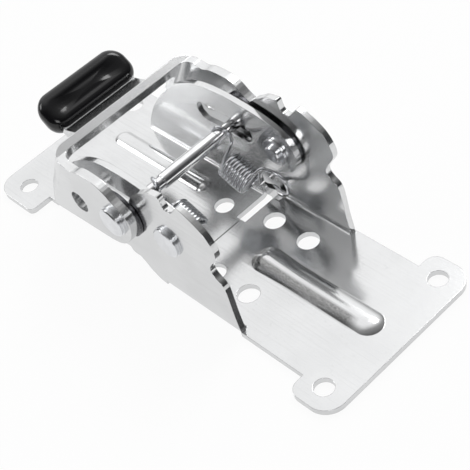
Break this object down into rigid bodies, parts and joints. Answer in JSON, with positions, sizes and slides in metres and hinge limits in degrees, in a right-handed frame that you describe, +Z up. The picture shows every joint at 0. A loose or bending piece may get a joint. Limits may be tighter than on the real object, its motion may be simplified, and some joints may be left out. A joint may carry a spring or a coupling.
{
  "type": "self-locking folding hinge",
  "caption": "Folding leg hinge: a pressed ear plate and a pressed cheek plate turn about one axis, and a sprung cross rod drawn by a bail lever with a dipped grip locks them.",
  "frame": {"origin": "on the mounting face, in the middle, under the fold axis and between the two screw holes there", "axes": "+X along the plates towards the end of the ear plate, +Y along the fold axis, +Z up from the mounting face"},
  "size_m": [0.1607, 0.065, 0.047],
  "materials": {
    "zinc_sheet": "bright zinc plated",
    "lever_sheet": "bright zinc plated",
    "bright_rod": "bright zinc plated",
    "rivet_steel": "bright zinc plated",
    "dark_spacer": "satin",
    "spring_wire": "drawn wire",
    "dipped_grip": "glossy dipped coating"
  },
  "bodies": {
    "ear_body": {"ear_plate": "zinc_sheet", "pivot_rivet_left": "rivet_steel", "pivot_rivet_right": "rivet_steel", "pivot_washer_left": "rivet_steel", "pivot_washer_right": "rivet_steel", "pivot_ring_left": "rivet_steel", "pivot_ring_right": "rivet_steel"},
    "leg_body": {"leg_plate": "zinc_sheet", "spring_left": "spring_wire", "spring_right": "spring_wire"},
    "latch_body": {"lever": "lever_sheet", "grip": "dipped_grip", "lock_rod": "bright_rod", "rod_head_left": "rivet_steel", "rod_head_right": "rivet_steel", "spacer_disc_left": "dark_spacer", "spacer_disc_right": "dark_spacer"}
  },
  "joints": [
    {"name": "fold", "type": "hinge", "parent": "ear_body", "child": "leg_body", "pos_m": [0, 0, 0.027], "axis": [0, 1, 0], "range_deg": [0, 180]},
    {"name": "latch_slide", "type": "slide", "parent": "leg_body", "child": "latch_body", "axis": [-1, 0, 0], "range_m": [0, 0.0116], "deforming": ["spring_left", "spring_right"]}
  ],
  "couplings": [
    {"joint": "latch_slide", "follows": "fold", "m_per_rad": 0.00366}
  ]
}
